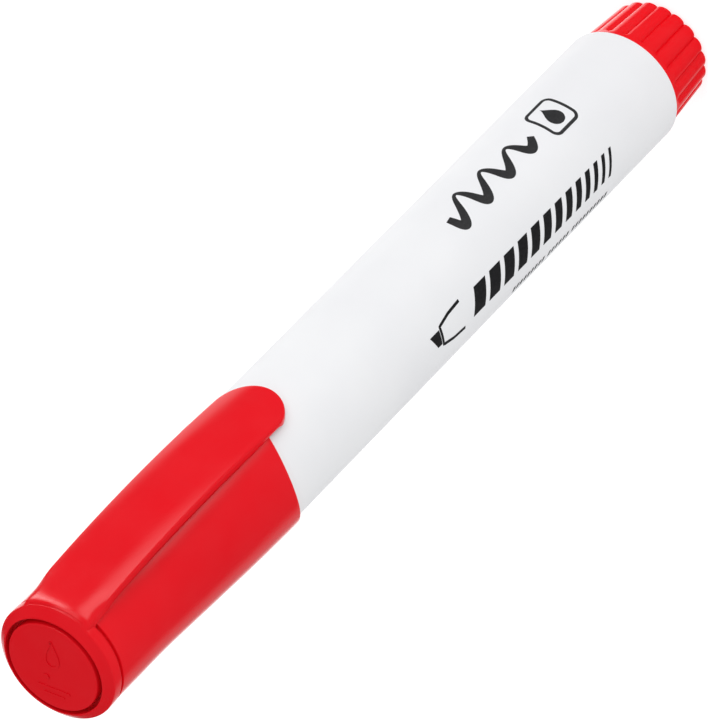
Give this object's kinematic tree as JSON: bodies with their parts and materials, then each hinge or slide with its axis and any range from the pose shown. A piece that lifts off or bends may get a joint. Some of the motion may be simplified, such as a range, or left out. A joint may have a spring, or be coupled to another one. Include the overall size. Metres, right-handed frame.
{
  "type": "whiteboard marker",
  "caption": "Capped whiteboard marker with a pull-off cap, an integral pocket clip, a chisel nib on a fibre reservoir and a ribbed tail plug.",
  "frame": {"origin": "centre of the flat end face of the tail plug, which the marker stands on", "axes": "+Z along the pen's axis towards the closed end of the cap; the clip lies on the -Y side; +X across the clip"},
  "size_m": [0.0172, 0.0187, 0.136],
  "materials": {
    "barrel_white": "satin moulded polypropylene",
    "holder_white": "satin moulded polypropylene",
    "nib_fibre": "pressed polyester fibre, soaked in ink",
    "reservoir_fibre": "bundled polyester fibre, soaked in ink",
    "reservoir_film": "thin clear film",
    "plug_red": "satin moulded polypropylene",
    "cap_red": "satin moulded polypropylene",
    "liner_white": "soft natural polyethylene",
    "print_black": "screen-printed ink"
  },
  "bodies": {
    "barrel": {"barrel": "barrel_white", "nib_holder": "holder_white", "nib": "nib_fibre", "reservoir_core": "reservoir_fibre", "reservoir_film": "reservoir_film"},
    "cap": {"cap_shell": "cap_red", "cap_collar": "cap_red", "cap_liner": "liner_white", "cap_end_disc": "cap_red"},
    "clip": {"cap_clip": "cap_red"},
    "plug": {"tail_plug": "plug_red"}
  },
  "joints": [
    {"name": "cap_pull", "type": "slide", "parent": "barrel", "child": "cap", "axis": [0, 0, 1], "range_m": [0, 0.045]},
    {"name": "clip_flex", "type": "hinge", "parent": "cap", "child": "clip", "pos_m": [0, -0.00845, 0.1308], "axis": [-1, 0, 0], "range_deg": [0, 4], "stiffness_Nm_per_rad": 3},
    {"name": "plug_pull", "type": "slide", "parent": "barrel", "child": "plug", "axis": [0, 0, -1], "range_m": [0, 0.015]}
  ]
}
